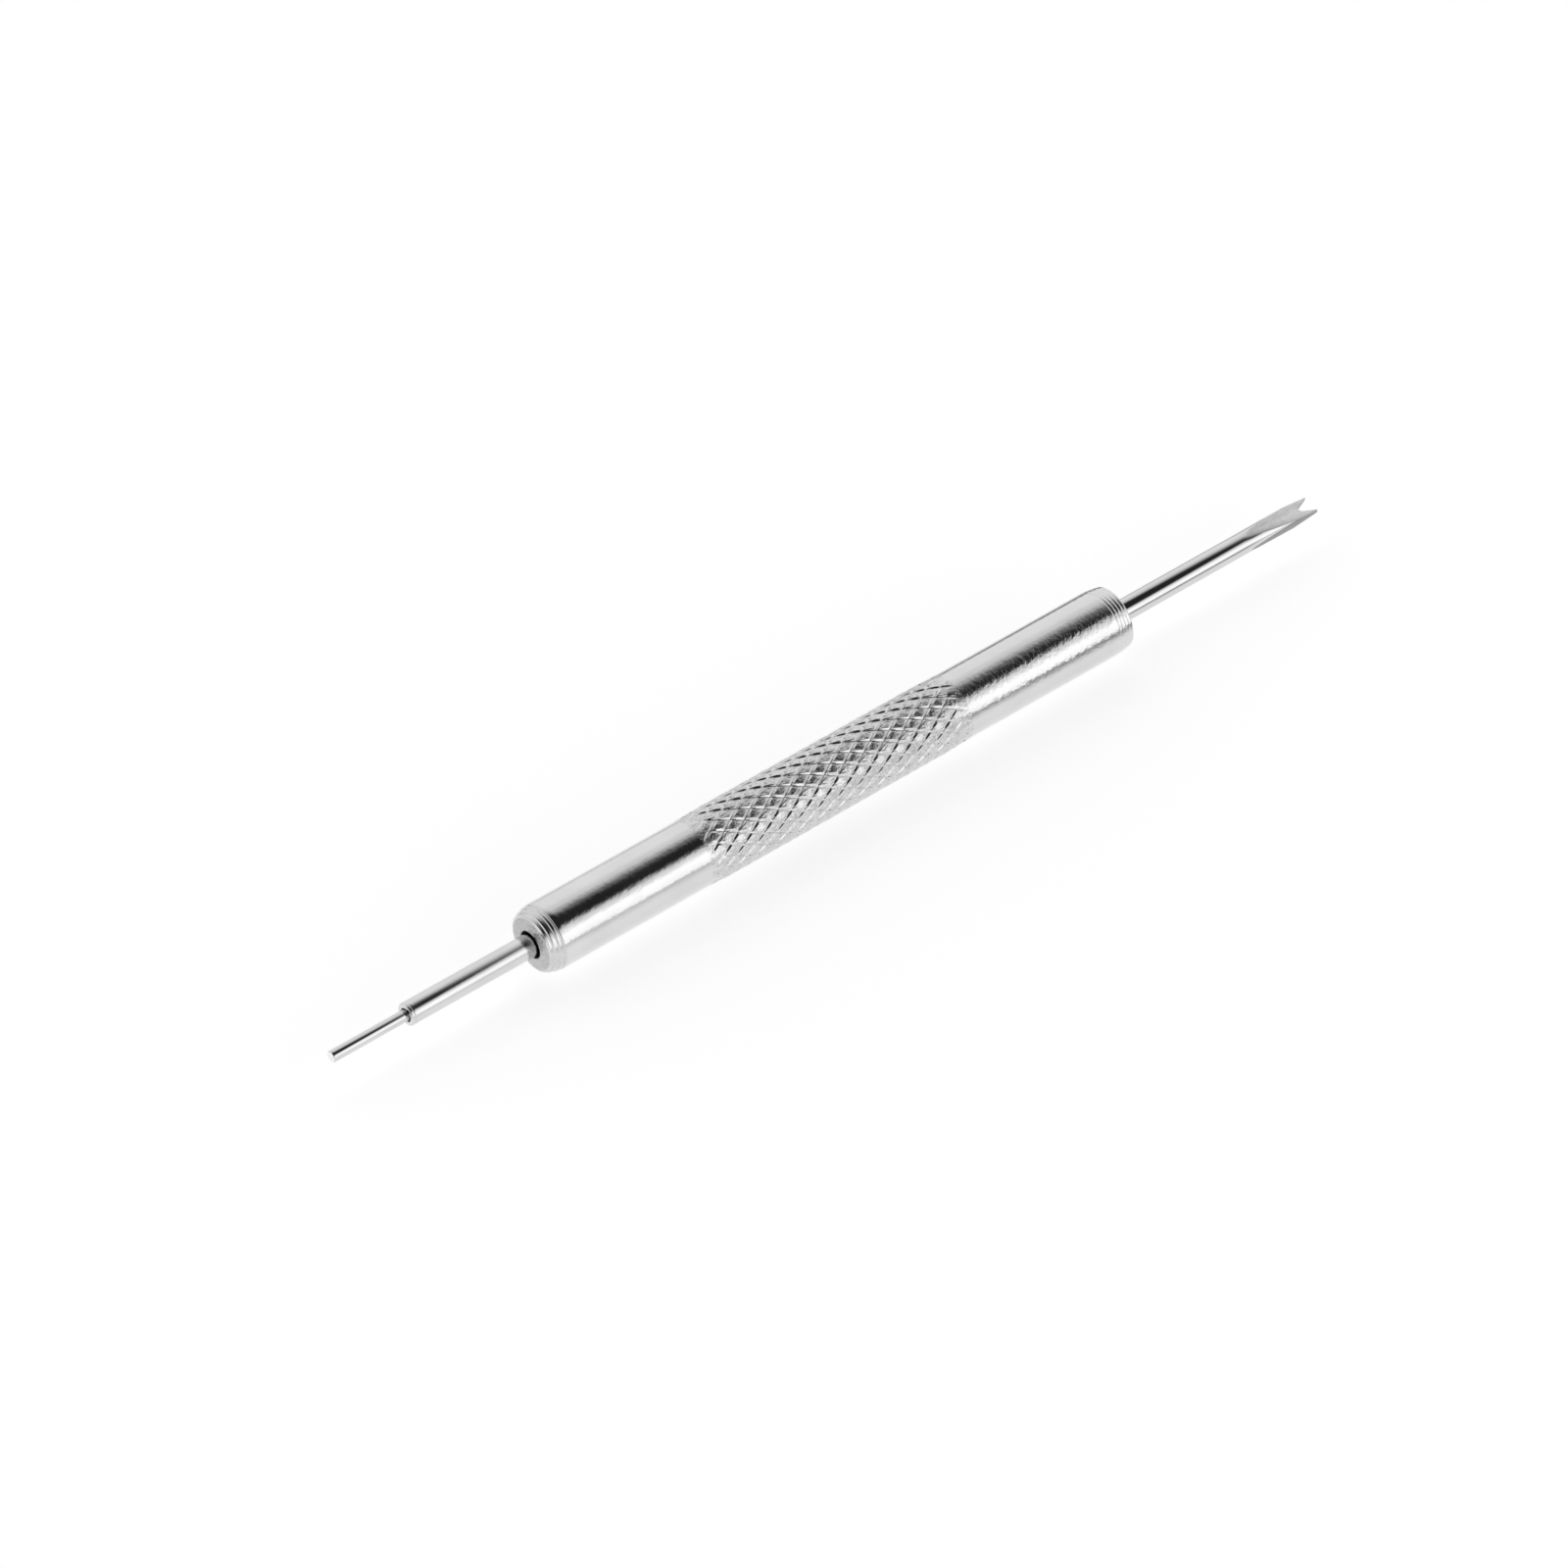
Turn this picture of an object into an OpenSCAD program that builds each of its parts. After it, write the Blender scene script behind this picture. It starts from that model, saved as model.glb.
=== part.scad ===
// Double-ended spring bar tool for watch straps: a knurled handle with a push pin
// at one end and a fork at the other.
// The axis of the tool is X and runs from the pin to the fork, with the origin halfway.
// The tool lies level, with +Z up.

/* [Handle] */
// Diameter of the smooth barrel
handle_d = 4.3; // [3.8:0.1:6]
// Length of the handle, from end face to end face
handle_l = 44.7; // [38:0.1:60]
// Depth of the bore at each end, which holds a rod
seat_l = 10; // [4:0.5:14]
// How much thicker a pressed-in rod is than its bore
press_fit = 0.02; // [0.01:0.005:0.04]

/* [Knurl] */
// Distance from the pin end of the handle to the knurl
knurl_from = 12.05; // [6:0.05:16]
// Length of the knurl, with its run-out at both ends
knurl_l = 19.76; // [10:0.02:22]
// Number of ridges round the handle in each direction
knurl_starts = 16; // [12:1:20]
// Distance between two crossings along the handle
knurl_pitch = 1.52; // [1.2:0.02:2.4]
// Height of the ridges above the barrel
knurl_rise = 0.09; // [0.04:0.01:0.15]
// Depth of the pit floors below the barrel
knurl_sink = 0.07; // [0.03:0.01:0.15]
// Width of the top of a ridge
crest_w = 0.08; // [0.05:0.01:0.12]
// Width of the slope from a ridge down to a pit floor
slope_w = 0.1; // [0.08:0.01:0.15]

/* [Rolled shoulders of the handle] */
// Length of the shoulder at the pin end
nose_l = 1.4; // [1.3:0.05:3]
// How far the shoulder at the pin end falls below the barrel
nose_drop = 0.4; // [0.1:0.01:0.65]
// How far the end face at the pin end is crowned
nose_crown = 0.12; // [0.05:0.01:0.2]
// Diameter of the open mouth round the rod at the pin end
mouth_d = 1.75; // [1.6:0.05:2.2]
// Depth of the mouth
mouth_l = 0.7; // [0.3:0.1:2]
// Number of grooves rolled into the shoulder at the pin end
nose_groove_count = 3; // [1:1:4]
// Distance from the edge of the end face to the first groove at the pin end
nose_groove_from = 0.14; // [0.12:0.01:0.3]
// Distance between two grooves at the pin end
nose_groove_pitch = 0.32; // [0.25:0.01:0.36]
// Width of a groove at the pin end
nose_groove_w = 0.16; // [0.1:0.01:0.2]
// Depth of a groove at the pin end
nose_groove_depth = 0.05; // [0.01:0.005:0.07]
// Length of the shoulder at the fork end
tail_l = 1.4; // [1.3:0.05:3]
// How far the shoulder at the fork end falls below the barrel
tail_drop = 0.15; // [0.1:0.01:0.65]
// Number of grooves rolled into the shoulder at the fork end
tail_groove_count = 4; // [1:1:4]
// Distance from the edge of the end face to the first groove at the fork end
tail_groove_from = 0.21; // [0.12:0.01:0.3]
// Distance between two grooves at the fork end
tail_groove_pitch = 0.26; // [0.18:0.01:0.3]
// Width of a groove at the fork end
tail_groove_w = 0.1; // [0.05:0.01:0.14]
// Depth of a groove at the fork end
tail_groove_depth = 0.03; // [0.01:0.005:0.05]

/* [Pin end] */
// Diameter of the sleeve that carries the push pin
sleeve_d = 1.48; // [1.3:0.02:1.56]
// Length of the sleeve outside the handle
sleeve_out = 9.1; // [5:0.1:16]
// Size of the rounding on the sleeve's free end
sleeve_round = 0.1; // [0.06:0.02:0.26]
// Distance from the sleeve's rounding to its fine groove
sleeve_groove_from = 0.12; // [0.06:0.02:2]
// Diameter of the push pin
pin_d = 0.76; // [0.6:0.02:0.8]
// Length of the push pin outside the sleeve
pin_out = 5.4; // [2:0.1:10]
// Depth to which the push pin is pressed into the sleeve
pin_seat_l = 6; // [3:0.5:9]
// Length of the hidden taper by which the push pin thickens to its seat
pin_taper_l = 0.6; // [0.3:0.1:1]
// Chamfer on the push pin's tip
pin_chamfer = 0.05; // [0.02:0.01:0.1]
// Width of the countersink round the push pin
pin_countersink = 0.08; // [0.04:0.01:0.1]

/* [Fork end] */
// Diameter of the fork's rod
fork_d = 1.42; // [1.3:0.02:1.8]
// Length of the fork outside the handle
fork_out = 16.1; // [10:0.1:30]
// Length of the blade that is ground flat
blade_l = 5.4; // [3.5:0.1:8]
// Thickness of the blade at its tips
blade_tip_t = 0.3; // [0.3:0.02:0.8]
// Width of the blade at its tips
blade_tip_w = 1.28; // [1.2:0.02:1.3]
// Roll of the blade about the axis; the round handle lets it lie at any roll
blade_roll = 10; // [-90:1:90]
// Depth of the notch
notch_depth = 1.06; // [0.6:0.02:1.5]
// Width of the notch between the tips
notch_mouth_w = 1.2; // [0.9:0.02:1.2]
// Radius of the notch's root
notch_root_r = 0.24; // [0.15:0.01:0.3]

/* [Hidden] */
$fn = 96;

// Places along the axis
total_l = pin_out + sleeve_out + handle_l + fork_out;
pin_tip_x = -total_l / 2;
sleeve_tip_x = pin_tip_x + pin_out;
handle_x = sleeve_tip_x + sleeve_out;
handle_end_x = handle_x + handle_l;
fork_tip_x = handle_end_x + fork_out;

// Radii of the handle and of the bores in it
barrel_r = handle_d / 2;
sleeve_bore_r = (sleeve_d - press_fit) / 2;
fork_bore_r = (fork_d - press_fit) / 2;
pin_bore_r = pin_d / 2;

// The knurl is a net of crossings, `knurl_columns` half pitches long and `knurl_rows`
// half steps round. A crossing sits where column + row is even, a pit where it is odd.
knurl_x = handle_x + knurl_from;
knurl_columns = round(2 * knurl_l / knurl_pitch);
column_step = knurl_l / knurl_columns;
knurl_rows = 2 * knurl_starts;
row_angle = 360 / knurl_rows;
// Distance between neighbouring ridges, square to them
row_step = PI * handle_d / knurl_rows;
ridge_gap = 2 * column_step * row_step / norm([column_step, row_step]);
// Sizes of the two diamonds inside a cell, as shares of the cell: the foot of the ridge
// tops, and the pit floor
crest_share = 1 - crest_w / ridge_gap;
floor_share = crest_share - 2 * slope_w / ridge_gap;
// The ridge tops fall a little from their middle line
crest_fall = knurl_rise / 8;
// The net ends just under the barrel's surface and runs on inside the barrel
knurl_skin = 0.006;
knurl_tail = 0.4;
knurl_core_r = barrel_r - knurl_sink - 0.3;

// Roundings of the small edges
lip_r = 0.06;
mouth_cone_l = 0.25;
sleeve_groove_w = 0.08;
sleeve_groove_depth = 0.03;
countersink_l = 0.35;
// How far cutting shapes run past what they cut
past = 1;

// A turned solid on the X axis. Its profile is a list of [place along X, radius].
module turned(profile)
    rotate([0, 90, 0]) rotate_extrude() polygon([for (p = profile) [p[1], p[0]]]);

// A blind hole on the X axis, from x in the direction of dir, open at its mouth
module bore(x, dir, length, radius)
    turned([[x - dir * past, 0], [x - dir * past, radius], [x + dir * length, radius],
            [x + dir * length, 0]]);

// ---- Handle ----

// Radius of a shoulder at a distance from its end face: it swells smoothly to the barrel
function shoulder_r(away, length, drop) =
    barrel_r - drop * pow(max(0, 1 - away / length), 2);

// Profile of a shoulder as [distance from the end face, radius], from the face to the
// barrel. Its grooves are [count, distance to the first, pitch, width, depth].
function shoulder(length, drop, crown, grooves) =
    let (edge = crown + lip_r,
         pitch = grooves[2],
         last = edge + grooves[1] + grooves[0] * pitch)
    concat(
        [[crown, barrel_r - drop - lip_r], [crown + lip_r / 3, barrel_r - drop - lip_r / 3]],
        [[edge, shoulder_r(edge, length, drop)]],
        [for (i = [0:grooves[0] - 1], part = [-1, 0, 1, 2])
            let (middle = edge + grooves[1] + i * pitch,
                 away = part == 2 ? middle + pitch / 2 : middle + part * grooves[3] / 2)
            [away, shoulder_r(away, length, drop) - (part == 0 ? grooves[4] : 0)]],
        [for (i = [1:4]) let (away = last + (max(length, last + 0.1) - last) * i / 4)
            [away, shoulder_r(away, length, drop)]]);

// The handle without its knurl: two barrels on a core
function handle_profile() =
    let (lap = 0.02,
         nose = shoulder(nose_l, nose_drop, nose_crown,
                         [nose_groove_count, nose_groove_from, nose_groove_pitch,
                          nose_groove_w, nose_groove_depth]),
         tail = shoulder(tail_l, tail_drop, 0,
                         [tail_groove_count, tail_groove_from, tail_groove_pitch,
                          tail_groove_w, tail_groove_depth]))
    concat(
        [[handle_x, 0], [handle_x, mouth_d / 2 + 2 * lip_r]],
        [for (p = nose) [handle_x + p[0], p[1]]],
        [[knurl_x - lap, barrel_r], [knurl_x - lap, knurl_core_r],
         [knurl_x + knurl_l + lap, knurl_core_r], [knurl_x + knurl_l + lap, barrel_r]],
        [for (i = [len(tail) - 1:-1:0]) [handle_end_x - tail[i][0], tail[i][1]]],
        [[handle_end_x, 0]]);

// A point of the knurl. Its height over the barrel fades out over the end columns.
function knurl_point(column, row, height) =
    let (fade = min(1, column, knurl_columns - column),
         r = barrel_r - knurl_skin + fade * (height + knurl_skin),
         turn = 90 - (row + 1) * row_angle)
    [knurl_x + column * column_step, r * cos(turn), r * sin(turn)];

// Places of the four corners of a cell, as steps in [column, row]: left, up, right, down
corners = [[-1, 0], [0, 1], [1, 0], [0, -1]];

crossing_points = [
    for (column = [0:knurl_columns], i = [0:knurl_starts - 1])
        knurl_point(column, 2 * i + column % 2, knurl_rise)];

// Each cell has four points at the foot of the ridge tops and four on the pit floor
cell_points = [
    for (column = [0:knurl_columns], i = [0:knurl_starts - 1],
         level = [[crest_share, knurl_rise - crest_fall], [floor_share, -knurl_sink]],
         corner = corners)
        knurl_point(max(0, min(knurl_columns, column + level[0] * corner[0])),
                    2 * i + 1 - column % 2 + level[0] * corner[1], level[1])];

// Number of a crossing, and of a cell's point: level 0 is the ridge tops, 1 the floor
function crossing(column, row) =
    column * knurl_starts + floor(((row + knurl_rows) % knurl_rows) / 2);
function cell_point(column, row, level, corner) =
    len(crossing_points) + 8 * crossing(column, row) + 4 * level + corner;

function quad(a, b, c, d) = [[a, b, c], [a, c, d]];

// The faces of one side of a cell, from one corner to the next: ridge top and slope
function cell_side(column, row, i) =
    let (j = (i + 1) % 4,
         a = crossing(column + corners[i][0], row + corners[i][1]),
         b = crossing(column + corners[j][0], row + corners[j][1]),
         c = cell_point(column, row, 0, i), d = cell_point(column, row, 0, j),
         e = cell_point(column, row, 1, i), f = cell_point(column, row, 1, j))
    concat(quad(a, b, d, c), quad(c, d, f, e));

function cell_floor(column, row) =
    [for (i = [0:3]) cell_point(column, row, 1, i)];

// All cells. Those of the first and last column are cut in half by the ends of the net.
cell_faces = [
    for (column = [0:knurl_columns], i = [0:knurl_starts - 1])
        let (row = 2 * i + 1 - column % 2,
             f = cell_floor(column, row),
             first = column == 0, last = column == knurl_columns)
        each concat(
            [for (side = first ? [1, 2] : last ? [3, 0] : [0, 1, 2, 3])
                each cell_side(column, row, side)],
            first ? [[f[1], f[2], f[3]]] : last ? [[f[0], f[1], f[3]]]
                : [[f[0], f[1], f[2]], [f[0], f[2], f[3]]])];

// The points along one end of the net, in order round the handle
function end_ring(column) = [
    for (i = [0:knurl_starts - 1])
        let (row = 2 * i + 1 - column % 2)
        each [crossing(column, row - 1),
              cell_point(column, row, 0, 3), cell_point(column, row, 1, 3),
              cell_point(column, row, 1, 1), cell_point(column, row, 0, 1)]];

// The knurl as one closed solid, with a plain tail at each end that lies in the barrel
module knurl() {
    net = concat(crossing_points, cell_points);
    start = end_ring(0);
    stop = end_ring(knurl_columns);
    n = len(start);
    tails = [for (i = start) net[i] - [knurl_tail, 0, 0], for (i = stop) net[i] + [knurl_tail, 0, 0]];
    first = len(net);
    polyhedron(
        points = concat(net, tails),
        faces = concat(
            cell_faces,
            [for (i = [0:n - 1]) let (j = (i + 1) % n)
                each concat(quad(first + i, first + j, start[j], start[i]),
                            quad(stop[i], stop[j], first + n + j, first + n + i))],
            [[for (i = [n - 1:-1:0]) first + i], [for (i = [0:n - 1]) first + n + i]]));
}

module handle() {
    color("silver") difference() {
        union() {
            turned(handle_profile());
            knurl();
        }
        bore(handle_x, 1, seat_l, sleeve_bore_r);
        // Open mouth that narrows to the bore
        turned([[handle_x - past, 0], [handle_x - past, mouth_d / 2],
                [handle_x + mouth_l, mouth_d / 2],
                [handle_x + mouth_l + mouth_cone_l, sleeve_bore_r - press_fit],
                [handle_x + mouth_l + mouth_cone_l, 0]]);
        bore(handle_end_x, -1, seat_l, fork_bore_r);
    }
}

// ---- Pin end ----

module sleeve() {
    r = sleeve_d / 2;
    groove_x = sleeve_tip_x + sleeve_round + sleeve_groove_from;
    color("silver") difference() {
        turned(concat(
            [[sleeve_tip_x, 0]],
            [for (a = [0:15:90])
                [sleeve_tip_x + sleeve_round * (1 - cos(a)), r - sleeve_round * (1 - sin(a))]],
            [[groove_x - sleeve_groove_w / 2, r], [groove_x, r - sleeve_groove_depth],
             [groove_x + sleeve_groove_w / 2, r],
             [handle_x + seat_l, r], [handle_x + seat_l, 0]]));
        bore(sleeve_tip_x, 1, pin_seat_l, pin_bore_r);
        turned([[sleeve_tip_x - past, 0], [sleeve_tip_x - past, pin_bore_r + pin_countersink],
                [sleeve_tip_x, pin_bore_r + pin_countersink],
                [sleeve_tip_x + countersink_l, pin_bore_r - press_fit],
                [sleeve_tip_x + countersink_l, 0]]);
    }
}

module push_pin() {
    r = pin_d / 2;
    seat_r = r + press_fit / 2;
    color("gainsboro")
        turned([[pin_tip_x, 0], [pin_tip_x, r - pin_chamfer], [pin_tip_x + pin_chamfer, r],
                [sleeve_tip_x, r], [sleeve_tip_x + pin_taper_l, seat_r],
                [sleeve_tip_x + pin_seat_l, seat_r], [sleeve_tip_x + pin_seat_l, 0]]);
}

// ---- Fork end ----

// One ground face of the blade as a cutter: it falls from half_d at the blade's start
// to half_tip at the tips
module ground_face(half_d, half_tip) {
    fall = (half_d - half_tip) / blade_l;
    start_x = fork_tip_x - blade_l;
    linear_extrude(2 * fork_d, center = true)
        polygon([[start_x - past, half_d + fall * past],
                 [fork_tip_x + past, half_tip - fall * past],
                 [fork_tip_x + past, fork_d], [start_x - past, fork_d]]);
}

// Outline of the notch: a round root that flares to the mouth
module notch() {
    root_x = fork_tip_x - notch_depth + notch_root_r;
    flare = atan((notch_mouth_w / 2 - notch_root_r) / (notch_depth - notch_root_r));
    run = past * tan(flare);
    translate([0, 0, -fork_d]) linear_extrude(2 * fork_d)
        polygon(concat(
            [for (i = [0:8]) let (a = 90 + flare + i * (180 - 2 * flare) / 8)
                [root_x + notch_root_r * cos(a), notch_root_r * sin(a)]],
            [[fork_tip_x, -notch_mouth_w / 2], [fork_tip_x + past, -notch_mouth_w / 2 - run],
             [fork_tip_x + past, notch_mouth_w / 2 + run], [fork_tip_x, notch_mouth_w / 2]]));
}

module fork() {
    r = fork_d / 2;
    color("lightgray") rotate([blade_roll, 0, 0]) difference() {
        turned([[handle_end_x - seat_l, 0], [handle_end_x - seat_l, r], [fork_tip_x, r],
                [fork_tip_x, 0]]);
        for (side = [0, 1]) {
            mirror([0, 0, side]) rotate([90, 0, 0]) ground_face(r, blade_tip_t / 2);
            mirror([0, side, 0]) ground_face(r, blade_tip_w / 2);
        }
        notch();
    }
}

handle();
sleeve();
push_pin();
fork();
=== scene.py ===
# %% [markdown]
# # A spring bar tool
#
# This is a small hand tool for watch straps. A thin push pin stands in a sleeve at one end, and
# a notched fork is ground on the rod at the other. A round handle with a diamond knurl holds
# both. Everything is bright metal, so the looks come from three things: the true shape of every
# small edge, a surface that is never quite smooth, and what there is around it to reflect.
#
# The solid model gives the frame. Its axis is X, from the pin to the fork, and all lengths are
# metres. We load it first and note where its pieces start and stop.

# %% Load the frame
import math
import bmesh
import bpy
from mathutils import Matrix, Vector, noise


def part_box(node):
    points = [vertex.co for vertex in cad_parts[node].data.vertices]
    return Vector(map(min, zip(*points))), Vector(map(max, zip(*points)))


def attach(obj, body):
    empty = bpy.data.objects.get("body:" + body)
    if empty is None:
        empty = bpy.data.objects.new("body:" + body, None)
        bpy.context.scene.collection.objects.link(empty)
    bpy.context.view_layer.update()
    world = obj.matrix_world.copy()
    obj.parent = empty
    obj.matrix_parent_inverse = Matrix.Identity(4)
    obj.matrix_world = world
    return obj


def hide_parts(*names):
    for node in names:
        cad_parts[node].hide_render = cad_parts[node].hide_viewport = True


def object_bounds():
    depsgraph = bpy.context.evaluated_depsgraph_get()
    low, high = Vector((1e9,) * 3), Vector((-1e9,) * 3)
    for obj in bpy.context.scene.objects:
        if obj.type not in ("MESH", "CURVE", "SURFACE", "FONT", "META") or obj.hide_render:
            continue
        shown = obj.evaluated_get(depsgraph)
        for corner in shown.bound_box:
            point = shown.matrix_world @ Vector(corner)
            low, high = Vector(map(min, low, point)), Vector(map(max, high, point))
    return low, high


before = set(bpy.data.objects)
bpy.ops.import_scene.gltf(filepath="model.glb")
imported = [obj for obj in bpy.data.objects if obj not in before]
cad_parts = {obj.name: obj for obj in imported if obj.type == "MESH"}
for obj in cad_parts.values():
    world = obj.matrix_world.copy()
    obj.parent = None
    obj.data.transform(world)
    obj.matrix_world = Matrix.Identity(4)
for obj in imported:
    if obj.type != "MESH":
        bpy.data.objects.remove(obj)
cad_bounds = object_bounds()
MM = 0.001

pin_tip_x, sleeve_tip_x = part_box("push_pin")[0].x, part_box("sleeve")[0].x
handle_x, handle_end_x = (corner.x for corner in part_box("handle"))
fork_tip_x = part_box("fork")[1].x
floor_z = cad_bounds[0].z
print("pin from %.2f mm, handle %.2f to %.2f mm, fork to %.2f mm" % (
    pin_tip_x / MM, handle_x / MM, handle_end_x / MM, fork_tip_x / MM))

# %% [markdown]
# ## The camera
#
# The photograph looks down on the tool at 43 degrees, from the pin's side. The tool runs up to
# the right because it lies turned by 40 degrees. A long lens from half a metre away shows almost
# no perspective, as in most small product photographs.

# %% Camera
def add_camera(towards, distance, lens, aim):
    """A level camera in the direction `towards` from the point `aim`."""
    data = bpy.data.cameras.new("camera")
    data.lens, data.sensor_width = lens, 36
    data.clip_start, data.clip_end = 0.01, 20
    camera = bpy.data.objects.new("camera", data)
    bpy.context.scene.collection.objects.link(camera)
    towards = Vector(towards).normalized()
    camera.location = Vector(aim) + towards * distance
    camera.rotation_euler = (-towards).to_track_quat("-Z", "Y").to_euler()
    bpy.context.scene.camera = camera
    return camera


camera = add_camera(towards=(-0.4711, -0.5664, 0.6762), distance=0.540, lens=210.4,
                    aim=(-0.00267, 0.00167, -0.00057))
print("camera at", [round(value, 3) for value in camera.location])
bpy.context.scene.view_settings.view_transform = "Standard"

# %% [markdown]
# ## Turned pieces
#
# A lathe turns the rods and the handle from a profile, and so do we: a line of points, each a
# place along the axis and a radius, is spun once round. One helper does this for all of them.
# The line runs from left to right above the axis, so every face of the spun shape looks outwards
# once the normals are recalculated.

# %% Helpers for turned pieces
def turned(bm, profile, steps=144):
    """Spin [place, radius] points, in millimetres from the origin, round the X axis."""
    points = [bm.verts.new((x * MM, 0, r * MM)) for x, r in profile]
    lines = [bm.edges.new(pair) for pair in zip(points, points[1:])]
    bmesh.ops.spin(bm, geom=points + lines, cent=(0, 0, 0), axis=(1, 0, 0),
                   angle=math.tau, steps=steps, use_merge=True)


def rounded(profile, radius, segments=4):
    """Round every corner of a profile that turns by more than 20 degrees."""
    out = [profile[0]]
    for before, here, after in zip(profile, profile[1:], profile[2:]):
        a, b, c = Vector(before), Vector(here), Vector(after)
        back, on = a - b, c - b
        turn = math.pi - back.angle(on)
        reach = min(radius, 0.45 * back.length, 0.45 * on.length)
        if turn < math.radians(20):
            out.append(here)
            continue
        start, stop = b + back.normalized() * reach, b + on.normalized() * reach
        for i in range(segments + 1):
            t = i / segments
            out.append(tuple((1 - t) ** 2 * start + 2 * t * (1 - t) * b + t * t * stop))
    return out + [profile[-1]]


def finish_piece(bm, name, materials, node, sharp=40):
    """Close up a shape, shade it, and let it stand for its CAD node."""
    bmesh.ops.remove_doubles(bm, verts=bm.verts, dist=0.0005 * MM)
    bmesh.ops.recalc_face_normals(bm, faces=bm.faces)
    mesh = bpy.data.meshes.new(name)
    bm.to_mesh(mesh)
    bm.free()
    mesh.polygons.foreach_set("use_smooth", [True] * len(mesh.polygons))
    mesh.set_sharp_from_angle(angle=math.radians(sharp))
    for material in materials:
        mesh.materials.append(material)
    piece = bpy.data.objects.new(name, mesh)
    bpy.context.scene.collection.objects.link(piece)
    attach(piece, "root")
    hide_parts(node)
    mesh.calc_loop_triangles()
    print("%s: %d triangles" % (name, len(mesh.loop_triangles)))
    return piece

# %% [markdown]
# ## Plating, wire and ground steel
#
# Nickel or chrome plate on a cheap turned part is bright, but it isn't a mirror. It follows the
# turned steel below it with a slight orange peel, it has a few pits, and its sheen changes a
# little from place to place. Where a surface is rough, such as a sawn end, dirt collects in dark
# specks. All four pieces share this, so it is one node group. The group gives a colour, a
# roughness and a height. Each material sets its own grain, depth and amounts, and keeps its own
# shader and its own bump.

# %% Node group for bright metal
def new_group(name, inputs, outputs):
    """A node group with its sockets, its input node and its output node."""
    group = bpy.data.node_groups.new(name, "ShaderNodeTree")
    for title, kind, value in inputs:
        socket = group.interface.new_socket(name=title, in_out="INPUT", socket_type=kind)
        if value is not None:
            socket.default_value = value
    for title, kind in outputs:
        group.interface.new_socket(name=title, in_out="OUTPUT", socket_type=kind)
    return group, group.nodes.new("NodeGroupInput"), group.nodes.new("NodeGroupOutput")


def node(tree, kind, inputs=(), **settings):
    """A node with its settings, and its inputs set to values or joined to sockets."""
    made = tree.nodes.new(kind)
    for key, value in settings.items():
        setattr(made, key, value)
    for key, value in dict(inputs).items():
        if isinstance(value, bpy.types.NodeSocket):
            tree.links.new(value, made.inputs[key])
        else:
            made.inputs[key].default_value = value
    return made


def maths(tree, operation, *values):
    """The output of a Math node on values or sockets."""
    return node(tree, "ShaderNodeMath", dict(enumerate(values)), operation=operation).outputs[0]


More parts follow.
